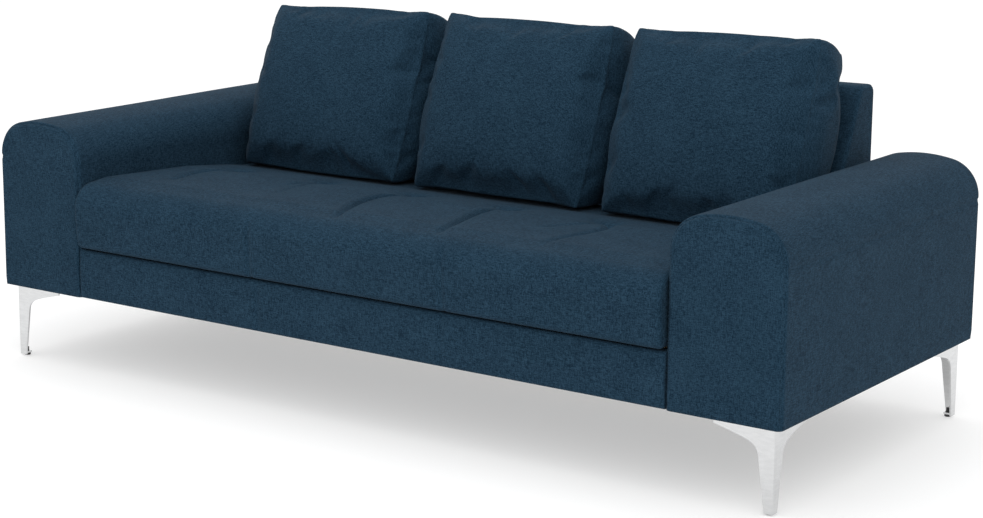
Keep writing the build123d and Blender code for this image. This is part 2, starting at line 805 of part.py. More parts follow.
# ================================================================= loose cushions
def cushion_solid():
    """One loose cushion, standing on the seat and leaning on the back, centred on X."""
    slope = (seat_front_height - seat_rear_height) / crease_depth
    back_tan = math.tan(math.radians(back_lean))
    base_rear_y = crease_y - cushion_crease_gap
    base_z = crease_z + (crease_y - base_rear_y) * slope + cushion_seat_gap
    base_front_y = base_rear_y - cushion_base_depth
    front_z = base_z + cushion_base_depth * slope
    top_rear_z = cushion_top_height - cushion_top_fall
    top_rear_y = base_rear_y + (top_rear_z - base_z) * math.tan(math.radians(cushion_rear_lean))
    top_front_y = top_rear_y - cushion_top_depth
    middle_z = (base_z + back_height) / 2 + cushion_rear_rise
    face_y = crease_y + joint_gap + (middle_z - crease_z) * back_tan
    rear_mid = (face_y - cushion_rear_gap, middle_z)
    front_mid_y = (base_front_y + top_front_y) / 2 - cushion_crown
    outline = [
        Line((base_front_y, front_z), (base_rear_y, base_z)),
        ThreePointArc((base_rear_y, base_z), rear_mid, (top_rear_y, top_rear_z)),
        Line((top_rear_y, top_rear_z), (top_front_y, cushion_top_height)),
        ThreePointArc(
            (top_front_y, cushion_top_height),
            (front_mid_y, (front_z + cushion_top_height) / 2),
            (base_front_y, front_z),
        ),
    ]
    width = 2 * unit_half / cushion_count - cushion_gap
    face = make_face(Plane.YZ * Wire(outline))
    face = fillet(face.vertices(), cushion_corner_radius)
    solid = Pos(-width / 2, 0, 0) * extrude(face, amount=width, dir=(1, 0, 0))
    ends = solid.faces().sort_by(Axis.X)
    outline_edges = ends[0].edges() + ends[-1].edges()
    return fillet(outline_edges, cushion_corner_radius - 2)


def cushion_pieces():
    """The loose back cushions side by side."""
    pitch = 2 * unit_half / cushion_count
    names = ["left", "centre", "right"]
    solid = cushion_solid()
    for index, name in enumerate(names):
        save(Pos((index - 1) * pitch, 0, 0) * solid, f"back_cushion_{name}")


# ================================================================= build
for side_name, side_sign in sides.items():
    arm_pieces(side_name, side_sign)
    hinge_pieces(side_name, side_sign)
    for end_name, end_sign in (("front", -1), ("rear", 1)):
        save(at_corner(leg_at_origin(), side_sign, end_sign), f"leg_{end_name}_{side_name}")
        save(at_corner(glide_at_origin(), side_sign, end_sign), f"glide_{end_name}_{side_name}")

screws = []
for side_sign in sides.values():
    for end_sign in (-1, 1):
        screws += [at_corner(screw, side_sign, end_sign) for screw in leg_screws_at_origin()]
save(group(screws), "leg_screws")
hinge_screws()
base_pieces()
seat_pieces()
back_pieces()
cushion_pieces()
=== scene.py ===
import math

import bpy
import numpy as np
from mathutils import Matrix, Vector


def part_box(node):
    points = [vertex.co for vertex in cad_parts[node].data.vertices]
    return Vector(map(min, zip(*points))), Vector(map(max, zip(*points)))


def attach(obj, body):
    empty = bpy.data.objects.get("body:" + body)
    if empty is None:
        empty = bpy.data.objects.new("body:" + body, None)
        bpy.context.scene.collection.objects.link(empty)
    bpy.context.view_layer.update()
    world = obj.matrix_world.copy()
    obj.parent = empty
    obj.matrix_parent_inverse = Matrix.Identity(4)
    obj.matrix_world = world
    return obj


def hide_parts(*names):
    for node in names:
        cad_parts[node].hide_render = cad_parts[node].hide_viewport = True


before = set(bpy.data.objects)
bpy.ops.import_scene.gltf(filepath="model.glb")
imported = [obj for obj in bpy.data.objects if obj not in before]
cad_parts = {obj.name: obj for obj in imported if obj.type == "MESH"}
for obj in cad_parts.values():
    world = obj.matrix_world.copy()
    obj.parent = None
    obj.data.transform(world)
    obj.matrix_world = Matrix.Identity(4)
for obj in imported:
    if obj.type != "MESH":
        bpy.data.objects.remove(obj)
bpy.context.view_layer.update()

bl_info = {
    "name": "Three-seat sofa bed",
    "version": (1, 0, 0),
    "blender": (4, 5, 0),
    "location": "3D View > Sidebar > Sofa",
    "description": "Upholstery, cushions and finishes of a three-seat click-clack sofa bed",
    "category": "Object",
}

SIDES = {"left": -1.0, "right": 1.0}
CUSHIONS = ("left", "centre", "right")
CREASE_Y, CREASE_Z = 0.2595, 0.421
SEAT_FALL = 0.0479
SKIRT_THICKNESS = 0.022
SKIRT_TOP = 0.2962
ARM_SHOULDER, ARM_RISE, ARM_EDGE = 0.080, 0.005, 0.013
ARM_SIDE_SEAM = 0.500
BACK_SEAM_HEIGHT = 0.690
SEAT_UNDERCUT = 0.0417
CUSHION_LINE = ((0.1055, 0.4295), (0.2622, 0.872), (0.2435, 0.4228), (0.3572, 0.830))
BACK_FACE = ((0.2635, 0.421), (0.4046, 0.738))
TUFT_ROW_Y = -0.020
POCKET_LENGTH = 0.150
POCKET_FACE = 0.7972


# ------------------------------------------------------------------ settings
class SofaFabricSettings(bpy.types.PropertyGroup):
    """Colours and scale of the upholstery cloth."""

    ground: bpy.props.FloatVectorProperty(
        name="Ground", description="Main colour of the cloth", subtype="COLOR",
        default=(0.0036, 0.0150, 0.0290), min=0, max=1)
    fleck: bpy.props.FloatVectorProperty(
        name="Fleck", description="Colour of the light threads", subtype="COLOR",
        default=(0.0190, 0.0480, 0.0790), min=0, max=1)
    thread: bpy.props.FloatProperty(
        name="Thread", description="Width of one slub in the weave", default=0.0018, unit="LENGTH")
    seam_width: bpy.props.FloatProperty(
        name="Seam width", description="Width of a sewn seam's groove", default=0.0045, unit="LENGTH")
    seam_depth: bpy.props.FloatProperty(
        name="Seam depth", description="Depth of a sewn seam's groove", default=0.0030, unit="LENGTH")


class SofaSeatSettings(bpy.types.PropertyGroup):
    """Softness and tufting of the bench seat."""

    crown: bpy.props.FloatProperty(
        name="Crown", description="How far the seat's top swells", default=0.018, unit="LENGTH")
    bulge: bpy.props.FloatProperty(
        name="Front bulge", description="How far the lower front tucks back", default=0.008, unit="LENGTH")
    tuft_depth: bpy.props.FloatProperty(
        name="Tuft depth", description="Depth of a blind tuft", default=0.022, unit="LENGTH")
    tuft_radius: bpy.props.FloatProperty(
        name="Tuft radius", description="Spread of a blind tuft", default=0.026, unit="LENGTH")
    crease_depth: bpy.props.FloatProperty(
        name="Crease depth", description="Depth of the pulled creases", default=0.0140, unit="LENGTH")
    crease_width: bpy.props.FloatProperty(
        name="Crease width", description="Width of the pulled creases", default=0.0058, unit="LENGTH")
    panel_seam: bpy.props.FloatProperty(
        name="Panel seam", description="Distance of the upright seams from the middle", default=0.268,
        unit="LENGTH")


class SofaCushionSettings(bpy.types.PropertyGroup):
    """Shape and fill of the loose back cushions."""

    crown: bpy.props.FloatProperty(
        name="Crown", description="How far the front panel swells", default=0.042, unit="LENGTH")
    rear_crown: bpy.props.FloatProperty(
        name="Rear crown", description="How far the rear panel swells", default=0.050, unit="LENGTH")
    swell: bpy.props.FloatProperty(
        name="Side swell", description="How far the edges swell halfway along", default=0.010, unit="LENGTH")
    corner_draw: bpy.props.FloatProperty(
        name="Corner draw", description="Share by which the corners are drawn in",
        default=0.020, min=0, max=1, subtype="FACTOR")
    travel: bpy.props.FloatProperty(
        name="Stuffing travel", description="Furthest that the filling may push the cover", default=0.022,
        unit="LENGTH")
    fill: bpy.props.FloatProperty(
        name="Fill", description="Fullness of the filling", default=0.7, min=0, max=1, subtype="FACTOR")


class SofaStageSettings(bpy.types.PropertyGroup):
    """Floor, light and camera."""

    floor_colour: bpy.props.FloatVectorProperty(
        name="Floor", description="Colour of the floor", subtype="COLOR", default=(0.60, 0.60, 0.60),
        min=0, max=1)
    floor_glow: bpy.props.FloatProperty(
        name="Floor glow", description="Light given off by the pale floor", default=0.42)
    floor_size: bpy.props.FloatProperty(
        name="Floor size", description="Side of the floor", default=60.0, unit="LENGTH")
    fill_light: bpy.props.FloatProperty(
        name="Room light", description="Strength of the even white room", default=1.02)
    key_light: bpy.props.FloatProperty(
        name="Softbox", description="Power of the softbox", default=45.0, unit="POWER")
    top_light: bpy.props.FloatProperty(
        name="Ceiling panel", description="Power of the overhead panel", default=55.0, unit="POWER")
    lens: bpy.props.FloatProperty(
        name="Lens", description="Focal length of the camera", default=83.50, subtype="DISTANCE_CAMERA")


# ------------------------------------------------------------------ shapes
def put_mesh(name, points, quads, triangles=None):
    """A mesh object at the origin from arrays of points, quads and triangles."""
    faces = [tuple(row) for row in quads.tolist()]
    if triangles is not None:
        faces += [tuple(row) for row in triangles.tolist()]
    mesh = bpy.data.meshes.new(name)
    mesh.from_pydata(points.reshape(-1, 3), [], faces)
    mesh.validate()
    mesh.update()
    mesh.polygons.foreach_set("use_smooth", np.ones(len(mesh.polygons), bool))
    made = bpy.data.objects.new(name, mesh)
    bpy.context.scene.collection.objects.link(made)
    return made


def rounded_outline(corners, radii, step):
    """Closed outline: straight runs, sampled every step, between arcs tangent to both sides of each corner.
    An arc's centre lies on the corner's bisector, at its radius over the sine of half the corner's angle."""
    corner = np.array(corners, float)
    ahead = np.roll(corner, -1, 0) - corner
    length = np.linalg.norm(ahead, axis=1)
    out = ahead / length[:, None]
    back = -np.roll(out, 1, 0)
    half = np.arccos(np.clip((out * back).sum(1), -1, 1)) / 2
    cut = np.array(radii) / np.tan(half)
    pieces = []
    for i in range(len(corner)):
        start, end = corner[i] + back[i] * cut[i], corner[i] + out[i] * cut[i]
        bisector = (out[i] + back[i]) / np.linalg.norm(out[i] + back[i])
        centre = corner[i] + bisector * radii[i] / np.sin(half[i])
        a, b = start - centre, end - centre
        sweep = math.atan2(a[0] * b[1] - a[1] * b[0], a @ b)
        count = max(3, int(abs(sweep) * radii[i] / step) + 2)
        angle = math.atan2(a[1], a[0]) + np.linspace(0, 1, count) * sweep
        pieces.append(centre + radii[i] * np.stack([np.cos(angle), np.sin(angle)], 1))
        following = (i + 1) % len(corner)
        stop = corner[following] + back[following] * cut[following]
        run = np.linalg.norm(stop - end)
        count = max(2, int(run / step) + 1)
        pieces.append(end + np.linspace(0, 1, count + 1)[1:-1, None] * (stop - end))
    return np.concatenate(pieces)


def carried(outline, stations, inset, heart, rings=8, flat_below=None):
    """A closed outline carried along an axis. Ring j lies at stations[j], drawn in by inset[j] along the
    outline's own normals; both ends close with rings that shrink evenly to the heart point. Points at or
    under flat_below only move sideways, in proportion, so that the underside stays flat."""
    forward = np.roll(outline, -1, 0) - np.roll(outline, 1, 0)
    normal = np.stack([forward[:, 1], -forward[:, 0]], 1)
    normal /= np.linalg.norm(normal, axis=1)[:, None]
    area = (outline[:, 0] * np.roll(outline[:, 1], -1) - outline[:, 1] * np.roll(outline[:, 0], -1)).sum()
    normal *= np.sign(area)
    if flat_below is not None:
        under = outline[:, 1] <= flat_below
        normal[under] = np.stack([outline[under, 0] / outline[:, 0].max(), np.zeros(under.sum())], 1)
    flat = outline[None] - normal[None] * np.array(inset)[:, None, None]
    place = np.array(stations, float)
    shrink = np.linspace(1, 0, rings + 1)[1:-1]
    heart = np.array(heart, float)
    first = heart + (flat[0] - heart)[None] * shrink[::-1, None, None]
    last = heart + (flat[-1] - heart)[None] * shrink[:, None, None]
    plane = np.concatenate([first, flat, last])
    along = np.concatenate([np.full(len(shrink), place[0]), place, np.full(len(shrink), place[-1])])
    return np.broadcast_to(along[:, None], plane.shape[:2]), plane


def closed_faces(rings, around):
    """Quads of a grid that closes around, and the fans that close its two ends on one point each."""
    index = np.arange(rings * around).reshape(rings, around)
    quads = np.stack([index[:-1], np.roll(index, -1, 1)[:-1], np.roll(index, -1, 1)[1:], index[1:]], -1)
    low, high = rings * around, rings * around + 1
    low_fan = np.stack([np.full(around, low), np.roll(index[0], -1), index[0]], -1)
    high_fan = np.stack([np.full(around, high), index[-1], np.roll(index[-1], -1)], -1)
    return quads.reshape(-1, 4), np.concatenate([low_fan, high_fan])


def grid_normals(points):
    """Unit normals of a grid: the cross product of its two central differences."""
    around = np.roll(points, -1, 1) - np.roll(points, 1, 1)
    along = np.gradient(points, axis=0)
    normal = np.cross(around, along)
    return normal / np.maximum(np.linalg.norm(normal, axis=2, keepdims=True), 1e-9)


def groove(distance, width):
    """A smooth dip: e to the minus the squared distance over the width."""
    return np.exp(-((distance / width) ** 2))


def end_rounding(half, radius, step, count=7):
    """Stations from -half to half with a quarter circle at both ends, and how far each draws in."""
    turn = np.linspace(0, math.pi / 2, count)
    lead = -half + radius * (1 - np.cos(turn))
    draw = radius * (1 - np.sin(turn))
    middle = np.linspace(-half + radius, half - radius, int(2 * half / step))[1:-1]
    place = np.concatenate([lead, middle, -lead[::-1]])
    return place, np.concatenate([draw, np.zeros(len(middle)), draw[::-1]])


def finish_shell(name, points, ends):
    """The grid and its two closing points as one object, with its faces turned outwards."""
    quads, fans = closed_faces(*points.shape[:2])
    every = np.concatenate([points.reshape(-1, 3), np.array(ends)])
    made = put_mesh(name, every, quads, fans)
    corner = every[quads]
    volume = np.einsum("ij,ij->i", corner[:, 0], np.cross(corner[:, 1], corner[:, 2])).sum()
    volume += np.einsum("ij,ij->i", corner[:, 0], np.cross(corner[:, 2], corner[:, 3])).sum()
    if volume < 0:
        made.data.flip_normals()
    return made


def near_path(x, y, path):
    """Distance in plan from each point to a polyline, and how far along it the nearest place is."""
    best, where = np.full(x.shape, 9.0), np.zeros(x.shape)
    for i in range(len(path) - 1):
        (x0, y0), (x1, y1) = path[i], path[i + 1]
        dx, dy = x1 - x0, y1 - y0
        t = np.clip(((x - x0) * dx + (y - y0) * dy) / (dx * dx + dy * dy), 0, 1)
        gap = np.hypot(x - x0 - t * dx, y - y0 - t * dy)
        where = np.where(gap < best, (i + t) / (len(path) - 1), where)
        best = np.minimum(best, gap)
    return best, where


def smooth_path(points, count=16):
    """A curve through a few points: the interpolating polynomial in y, sampled evenly."""
    p = np.array(points, float)
    fit = np.polyfit(p[:, 1], p[:, 0], min(3, len(p) - 1))
    y = np.linspace(p[0, 1], p[-1, 1], count)
    return np.stack([np.polyval(fit, y), y], 1)


# ------------------------------------------------------------------ finishes
class Finish:
    """A node material with short calls for its nodes and links."""

    def __init__(self, name, roughness=0.5, metallic=0.0):
        self.material = bpy.data.materials.new(name)
        self.material.use_nodes = True
        self.nodes = self.material.node_tree.nodes
        self.links = self.material.node_tree.links
        self.shader = self.nodes["Principled BSDF"]
        self.shader.inputs["Roughness"].default_value = roughness
        self.shader.inputs["Metallic"].default_value = metallic
        self.place = self.add("ShaderNodeTexCoord").outputs["Object"]

    def add(self, kind, **values):
        node = self.nodes.new(kind)
        for key, value in values.items():
            setattr(node, key, value)
        return node

    def stretched(self, scale, detail=3.0, roughness=0.55):
        """Noise on the piece's own coordinates, scaled apart on each axis."""
        mapping = self.add("ShaderNodeMapping")
        mapping.inputs["Scale"].default_value = scale
        self.links.new(self.place, mapping.inputs["Vector"])
        noise = self.add("ShaderNodeTexNoise")
        noise.inputs["Scale"].default_value = 1.0
        noise.inputs["Detail"].default_value = detail
        noise.inputs["Roughness"].default_value = roughness
        self.links.new(mapping.outputs["Vector"], noise.inputs["Vector"])
        return noise.outputs["Fac"]

    def sum(self, a, b, share=1.0):
        node = self.add("ShaderNodeMath", operation="MULTIPLY_ADD")
        self.links.new(b, node.inputs[0])
        node.inputs[1].default_value = share
        self.links.new(a, node.inputs[2])
        return node.outputs[0]

    def ramp(self, value, low, high, dark, light):
        node = self.add("ShaderNodeValToRGB")
        first, second = node.color_ramp.elements
        first.position, second.position = low, high
        first.color, second.color = (*dark, 1), (*light, 1)
        self.links.new(value, node.inputs[0])
        self.links.new(node.outputs[0], self.shader.inputs["Base Color"])
        return node

    def bump(self, value, distance, strength=0.6):
        node = self.add("ShaderNodeBump")
        node.inputs["Distance"].default_value = distance
        node.inputs["Strength"].default_value = strength
        self.links.new(value, node.inputs["Height"])
        self.links.new(node.outputs[0], self.shader.inputs["Normal"])

    def vary_roughness(self, value, low, high):
        node = self.add("ShaderNodeMapRange")
        node.inputs["To Min"].default_value = low
        node.inputs["To Max"].default_value = high
        self.links.new(value, node.inputs["Value"])
        self.links.new(node.outputs[0], self.shader.inputs["Roughness"])


def upholstery_cloth():
    """Heathered navy cloth: slubs along X, Y and Z over a slow mottle, with a light nap."""
    found = bpy.data.materials.get("navy_upholstery")
    if found:
        return found
    cloth = bpy.context.scene.sofa_fabric
    f = Finish("navy_upholstery", roughness=0.92)
    fine, long = 1 / cloth.thread, 0.16 / cloth.thread
    weft = f.stretched((long, fine, fine), 2.0)
    warp = f.stretched((fine, fine, long), 2.0)
    cross = f.stretched((fine, long, fine), 2.0)
    mottle = f.stretched((14.0, 14.0, 14.0), 4.0)
    weave = f.sum(f.sum(weft, warp), cross)
    total = f.sum(weave, mottle, 0.25)
    scaled = f.add("ShaderNodeMapRange")
    scaled.inputs["From Min"].default_value = 1.37
    scaled.inputs["From Max"].default_value = 1.88
    f.links.new(total, scaled.inputs["Value"])
    f.ramp(scaled.outputs[0], 0.0, 1.0, tuple(cloth.ground), tuple(cloth.fleck))
    f.bump(weave, 0.0009, 0.55)
    f.shader.inputs["Sheen Weight"].default_value = 0.02
    f.shader.inputs["Sheen Roughness"].default_value = 0.45
    f.shader.inputs["Specular IOR Level"].default_value = 0.07
    return f.material


def timber(name, dark, light, along, roughness=0.62):
    """Sawn wood: long streaks along one axis with fine pores."""
    f = Finish(name, roughness)
    scale = [34.0, 34.0, 34.0]
    scale[along] = 1.6
    streak = f.stretched(scale, 5.0, 0.6)
    pores = f.stretched([s * 9 for s in scale], 2.0)
    f.ramp(f.sum(streak, pores, 0.25), 0.42, 0.85, dark, light)
    f.bump(pores, 0.0006)
    return f.material


def grainy(name, dark, light, size, roughness, metallic=0.0, depth=0.0003):
    """A finish with an even fine grain over a slow tint: foam, board, plastic, zinc or non-woven cloth."""
    f = Finish(name, roughness, metallic)
    grain = f.stretched((1 / size,) * 3, 3.0)
    cloud = f.stretched((9.0, 9.0, 9.0), 3.0)
    f.ramp(f.sum(grain, cloud, 0.5), 0.55, 0.95, dark, light)
    f.bump(grain, depth, 0.5)
    f.vary_roughness(cloud, max(0.02, roughness - 0.08), min(1.0, roughness + 0.08))
    return f.material


def polished_steel():
    """Bright chromed steel with faint polishing haze."""
    f = Finish("polished_chrome", 0.14, 1.0)
    haze = f.stretched((40.0, 40.0, 160.0), 3.0)
    f.ramp(haze, 0.3, 0.8, (0.60, 0.605, 0.61), (0.68, 0.685, 0.69))
    f.vary_roughness(haze, 0.09, 0.22)
    f.bump(f.stretched((900.0, 900.0, 900.0), 1.0), 0.00004, 0.2)
    return f.material


def dress(piece, body, material, slot, *nodes):
    """Give a new piece its finish and body, and hide the CAD nodes that it stands for. The slot argument is
    not used.
    """
    piece.data.materials.append(material)
    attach(piece, body)
    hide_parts(*nodes)
    return piece


def paint(material, *starts):
    """Finish every CAD node whose name starts with one of the given words."""
    count = 0
    for name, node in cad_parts.items():
        if name.startswith(starts):
            node.data.materials.clear()
            node.data.materials.append(material)
            count += 1
    if not count:
        raise RuntimeError(f"no node starts with {starts}")


# ------------------------------------------------------------------ pieces
class SOFA_OT_arms(bpy.types.Operator):
    """The two padded arms with their flat end panels and sewn edges"""

    bl_idname = "sofa.arms"
    bl_label = "Arms"

    def execute(self, context):
        cloth = context.scene.sofa_fabric
        for side, sign in SIDES.items():
            low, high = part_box(f"arm_cover_{side}")
            half = (high.x - low.x) / 2
            middle = (high.x + low.x) / 2
            shoulder, rise, edge = ARM_SHOULDER, ARM_RISE, ARM_EDGE
            run = half - shoulder
            crown = shoulder + (run**2 + rise**2) / (2 * rise)
            spring = high.z - rise - shoulder
            lean = math.atan2(run, spring - (high.z - crown))
            turn = np.linspace(0, math.pi / 2 - lean, 22)
            right = np.stack([run + shoulder * np.cos(turn), spring + shoulder * np.sin(turn)], 1)
            sweep = np.linspace(lean, -lean, 26)[1:-1]
            top = np.stack([crown * np.sin(sweep), high.z - crown + crown * np.cos(sweep)], 1)
            left = right[::-1] * (-1, 1)
            rows = np.linspace(low.z, spring, 66)
            up = np.stack([np.full(65, half), rows[:-1]], 1)
            down = np.stack([np.full(65, -half), rows[::-1][1:]], 1)
            floor = np.stack([np.linspace(-half, half, 26)[1:-1], np.full(24, low.z)], 1)
            outline = np.concatenate([up, right, top, left, down, floor])
            place, draw = end_rounding((high.y - low.y) / 2, edge, 0.0072, 19)
            heart = (0.0, (low.z + high.z) / 2)
            along, plane = carried(outline, place, draw, heart, 26, low.z + 1e-6)
            z = np.maximum(plane[..., 1], low.z)
            points = np.stack([plane[..., 0] + middle, along + (low.y + high.y) / 2, z], -1)
            normal = grid_normals(points)
            centre = points.reshape(-1, 3).mean(0)
            normal *= np.sign(((points - centre) * normal).sum(-1).mean())
            reach = np.abs(along) - ((high.y - low.y) / 2 - edge)
            seam = groove(reach - edge * 0.62, cloth.seam_width * 0.5) * (reach > 0)
            outer = (points[..., 0] - middle) * sign
            level = groove(points[..., 2] - ARM_SIDE_SEAM, cloth.seam_width * 0.8) * (outer > half - 0.012)
            soft = 0.0010 * np.sin(points[..., 1] * 11 + sign) * np.sin(points[..., 2] * 9 + 1.3)
            shift = 0.0018 + soft - cloth.seam_depth * 1.2 * seam - cloth.seam_depth * 0.9 * level
            shift = np.maximum(shift, -0.0010) * np.clip((points[..., 2] - low.z) / 0.02, 0, 1)
            points = points + normal * shift[..., None]
            ends = [(middle, low.y, heart[1]), (middle, high.y, heart[1])]
            piece = finish_shell(f"arm_upholstery_{side}", points, ends)
            dress(piece, "root", upholstery_cloth(), "blue_fabric", f"arm_cover_{side}")
        return {"FINISHED"}


class SOFA_OT_front_rail(bpy.types.Operator):
    """The padded front rail between the arms, with its upright joining seams"""

    bl_idname = "sofa.front_rail"
    bl_label = "Front rail"

    def execute(self, context):
        cloth, seat = context.scene.sofa_fabric, context.scene.sofa_seat
        low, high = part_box("front_rail_cover")
        corners = [(low.y, low.z), (high.y, low.z), (high.y, high.z), (low.y, high.z)]
        outline = rounded_outline(corners, [0.007, 0.002, 0.002, 0.007], 0.004)
        place, draw = end_rounding(high.x, 0.002, 0.006, 3)
        heart = ((low.y + high.y) / 2, (low.z + high.z) / 2)
        along, plane = carried(outline, place, draw, heart, 4)
        points = np.stack([along, plane[..., 0], plane[..., 1]], -1)
        front = np.clip((low.y + 0.004 - points[..., 1]) / 0.004, 0, 1)
        wave = 0.0010 * np.sin(points[..., 0] * 9.0) * np.sin((points[..., 2] - low.z) * 26)
        seam = groove(np.abs(points[..., 0]) - seat.panel_seam + 0.012, cloth.seam_width)
        swell = 0.003 * np.sin(math.pi * (points[..., 2] - low.z) / (high.z - low.z))
        points[..., 1] -= front * (wave + swell - cloth.seam_depth * seam)
        piece = finish_shell("front_rail_upholstery", points, [(-high.x, *heart), (high.x, *heart)])
        dress(piece, "root", upholstery_cloth(), "blue_fabric", "front_rail_cover")
        return {"FINISHED"}


class SOFA_OT_seat(bpy.types.Operator):
    """The bench seat: crowned top, blind tufts, pulled creases and upright front seams"""

    bl_idname = "sofa.seat"
    bl_label = "Bench seat"

    tufts = (-0.674, -0.404, -0.135, 0.135, 0.404, 0.674)
    creases = (
        (((-0.135, -0.024), (-0.158, -0.135), (-0.121, -0.272), (-0.052, -0.430)), 1.0),
        (((0.130, -0.024), (0.138, -0.148), (0.180, -0.282), (0.222, -0.432)), 1.0),
        (((0.410, -0.030), (0.428, -0.053), (0.462, -0.250), (0.489, -0.420)), 0.55),
        (((-0.674, -0.024), (-0.700, -0.090), (-0.700, -0.150), (-0.651, -0.310)), 0.75),
        (((-0.404, -0.024), (-0.420, -0.080), (-0.410, -0.170)), 0.35),
        (((0.674, -0.024), (0.690, -0.100), (0.715, -0.220)), 0.35),
        (((-0.404, -0.030), (-0.385, -0.150), (-0.330, -0.300)), 0.25),
        (((0.404, -0.030), (0.380, -0.140), (0.345, -0.240)), 0.25),
    )

    def execute(self, context):
        cloth, seat = context.scene.sofa_fabric, context.scene.sofa_seat
        low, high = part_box("seat_cushion")
        rear, fall = high.y, high.y - SEAT_UNDERCUT
        corners = [(low.y, low.z), (fall, low.z), (rear, CREASE_Z), (low.y, high.z)]
        outline = rounded_outline(corners, [0.014, 0.010, 0.006, 0.050], 0.0056)
        place, draw = end_rounding(high.x, 0.011, 0.0058, 6)
        heart = ((low.y + rear) / 2, (low.z + high.z) / 2)
        along, plane = carried(outline, place, draw, heart, 14)
        points = np.stack([along, plane[..., 0], plane[..., 1]], -1)
        x, y, z = points[..., 0], points[..., 1], points[..., 2]
        top = np.clip((z - (high.z - 0.055)) / 0.03, 0, 1)
        ends = np.clip((high.x - np.abs(x)) / 0.10, 0, 1) ** 0.5
        depth = np.clip((y - low.y) / 0.12, 0, 1) * np.clip((0.12 - y) / 0.24, 0, 1) ** 0.7
        lift = seat.crown * (0.72 + 0.28 * ends) * np.minimum(1.0, depth * 1.1)
        panels = 0.004 * np.abs(np.sin(math.pi * (x - 0.135) / 0.269)) * np.clip((0.10 - y) / 0.2, 0, 1)
        dip = np.zeros_like(x)
        for place_x in self.tufts:
            gap = np.hypot(x - place_x, (y - TUFT_ROW_Y) * 0.9)
            dip += seat.tuft_depth * np.exp(-((gap / seat.tuft_radius) ** 1.3))
        for path, weight in self.creases:
            gap, where = near_path(x, y, smooth_path(path))
            fade = np.clip(1.15 - where, 0, 1) ** 0.6 * np.clip((0.99 - where) / 0.12, 0, 1)
            dip += seat.crease_depth * weight * fade * groove(gap, seat.crease_width)
            dip += 0.45 * seat.crease_depth * weight * fade * groove(gap, seat.crease_width * 4.5)
            dip -= 0.25 * seat.crease_depth * weight * fade * groove(gap - 0.018, 0.010)
        z = z + top * (lift + panels * 0.6 - dip)
        face = np.clip((low.y + 0.03 - y) / 0.02, 0, 1)
        height = np.clip((z - low.z) / (high.z - low.z), 0, 1)
        tuck = seat.bulge * (1 - height) ** 2
        ripple = 0.0022 * np.sin(x * 7.3 + 0.6) * np.sin(height * math.pi)
        seam = groove(np.abs(x) - seat.panel_seam, cloth.seam_width) * np.clip(1.15 - height, 0, 1) ** 0.3
        y = y + face * (tuck - ripple + cloth.seam_depth * 1.8 * seam)
        pocket = np.clip((y - (rear - POCKET_LENGTH) + 0.012) / 0.010, 0, 1)
        x = np.sign(x) * np.minimum(np.abs(x), high.x - (high.x - POCKET_FACE) * pocket)
        points = np.stack([x, y, z], -1)
        piece = finish_shell("bench_seat_upholstery", points, [(-high.x, *heart), (high.x, *heart)])
        dress(piece, "seat", upholstery_cloth(), "blue_fabric", "seat_cushion")
        return {"FINISHED"}


class SOFA_OT_back(bpy.types.Operator):
    """The padded back with its plain rear skirt"""

    bl_idname = "sofa.back"
    bl_label = "Back"

    def execute(self, context):
        cloth = context.scene.sofa_fabric
        low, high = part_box("back_upholstery")
        (foot_y, foot_z), (top_y, _) = BACK_FACE
        skirt = high.y - SKIRT_THICKNESS
        corners = [(foot_y, foot_z), (skirt, SKIRT_TOP), (skirt, low.z), (high.y, low.z), (high.y, high.z),
                   (top_y, high.z)]
        outline = rounded_outline(corners, [0.006, 0.003, 0.005, 0.005, 0.020, 0.020], 0.0085)
        place, draw = end_rounding(high.x, 0.009, 0.012, 6)
        heart = (0.455, 0.50)
        along, plane = carried(outline, place, draw, heart, 8)
        points = np.stack([along, plane[..., 0], plane[..., 1]], -1)
        x, z = points[..., 0], points[..., 2]
        back = np.clip((points[..., 1] - high.y + 0.004) / 0.004, 0, 1)
        seam = groove(z - BACK_SEAM_HEIGHT, cloth.seam_width) + groove(np.abs(x) - 0.268, cloth.seam_width)
        points[..., 1] -= back * cloth.seam_depth * np.minimum(seam, 1)
        points[..., 2] += 0.002 * np.sin(x * 8 + 0.4) * np.clip((z - high.z + 0.01) / 0.01, 0, 1)
        piece = finish_shell("back_padding", points, [(-high.x, *heart), (high.x, *heart)])
        dress(piece, "back", upholstery_cloth(), "blue_fabric", "back_upholstery")
        return {"FINISHED"}


def box_faces(columns, rows, between):
    """Faces of a front grid, a strip of rings round its rim, and a rear grid with the same rim."""
    count = columns * rows
    front = np.arange(count).reshape(columns, rows)
    rim = np.concatenate([front[:-1, 0], front[-1, :-1], front[:0:-1, -1], front[0, :0:-1]])
    ring = count + np.arange(between * len(rim)).reshape(between, len(rim))
    rear = count + between * len(rim) + front
    far = rim + count + between * len(rim)
    strip = np.concatenate([rim[None], ring, far[None]])
    def cells(grid):
        return np.stack([grid[:-1, :-1], grid[1:, :-1], grid[1:, 1:], grid[:-1, 1:]], -1).reshape(-1, 4)
    side = np.stack([strip[:-1], strip[1:], np.roll(strip, -1, 1)[1:], np.roll(strip, -1, 1)[:-1]], -1)
    return np.concatenate([cells(front), cells(rear)[:, ::-1], side.reshape(-1, 4)]), rim, strip


